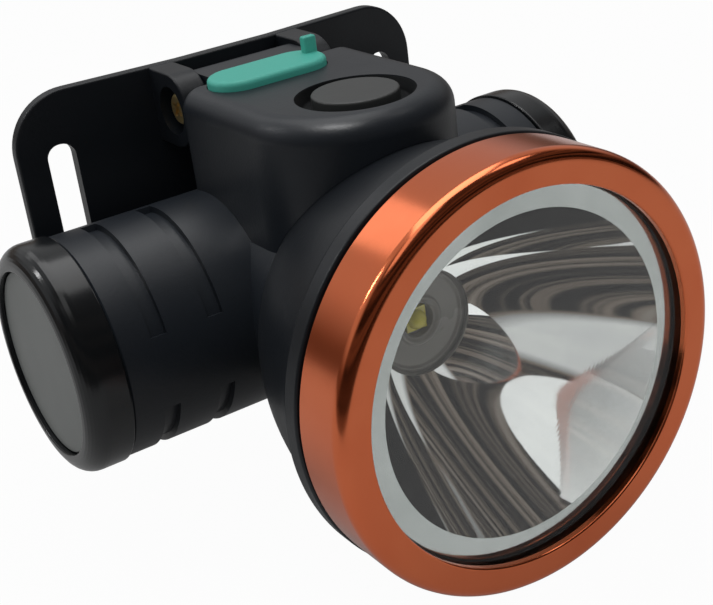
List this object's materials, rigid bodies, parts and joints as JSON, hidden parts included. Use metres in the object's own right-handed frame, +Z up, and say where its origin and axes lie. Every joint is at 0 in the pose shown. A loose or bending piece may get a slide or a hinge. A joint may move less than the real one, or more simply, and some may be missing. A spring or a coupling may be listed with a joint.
{
  "type": "miner's cap lamp",
  "caption": "Self-contained tilting cap lamp: wide bezel lamp head on a cross battery barrel, hinged to a strap plate, with power button and charging port.",
  "frame": {"origin": "centre of the flat middle of the strap plate's rear face", "axes": "+Y out of the plate's rear face towards the wearer's cap, so the lamp looks along -Y; +X along the battery barrel; +Z up"},
  "size_m": [0.0946, 0.0798, 0.0678],
  "materials": {
    "black_moulding": "fine textured black",
    "grey_trim": "satin dark grey",
    "copper_bezel": "anodised copper, satin",
    "clear_lens": "clear",
    "mirror_coat": "vacuum metallised",
    "teal_rubber": "soft teal",
    "black_rubber": "soft black",
    "plated_brass": "machined",
    "spring_steel": "bright",
    "cell_sleeve": "shrink sleeve",
    "bare_aluminium": "machined",
    "circuit_board": "solder mask",
    "white_board": "white solder mask",
    "emitter_phosphor": "silicone dome",
    "wire_insulation": "wire insulation"
  },
  "bodies": {
    "bracket": {"bracket_plate": "black_moulding"},
    "head": {"head_housing": "black_moulding", "hinge_screws": "plated_brass", "hinge_washers": "black_rubber", "hinge_inserts": "plated_brass", "left_end_cap": "black_moulding", "right_end_cap": "black_moulding", "left_cap_disc": "grey_trim", "right_cap_disc": "grey_trim", "left_cap_seal": "black_rubber", "right_cap_seal": "black_rubber", "battery_cell": "cell_sleeve", "positive_contact": "plated_brass", "negative_contact": "plated_brass", "negative_spring": "spring_steel", "lamp_bowl": "black_moulding", "bowl_screws": "spring_steel", "bezel_ring": "copper_bezel", "bezel_seal": "black_rubber", "front_lens": "clear_lens", "lens_gasket": "black_rubber", "reflector": "mirror_coat", "led_holder": "white_board", "led_emitter": "emitter_phosphor", "led_board": "white_board", "heat_sink": "bare_aluminium", "driver_board": "circuit_board", "lamp_leads": "wire_insulation", "switch_lead": "wire_insulation", "switch_board": "circuit_board", "tact_switch": "spring_steel", "button_collar": "grey_trim", "charge_socket": "spring_steel"},
    "button": {"power_button": "grey_trim"},
    "plug": {"port_plug": "teal_rubber"}
  },
  "joints": [
    {"name": "head_tilt", "type": "hinge", "parent": "bracket", "child": "head", "pos_m": [0, -0.0077, 0.0174], "axis": [-1, 0, 0], "range_deg": [0, 90]},
    {"name": "button_press", "type": "slide", "parent": "head", "child": "button", "axis": [0, 0, -1], "range_m": [0, 0.0006], "stiffness_N_per_m": 1500},
    {"name": "port_cover_lift", "type": "slide", "parent": "head", "child": "plug", "axis": [0, 0, 1], "range_m": [0, 0.008]}
  ]
}
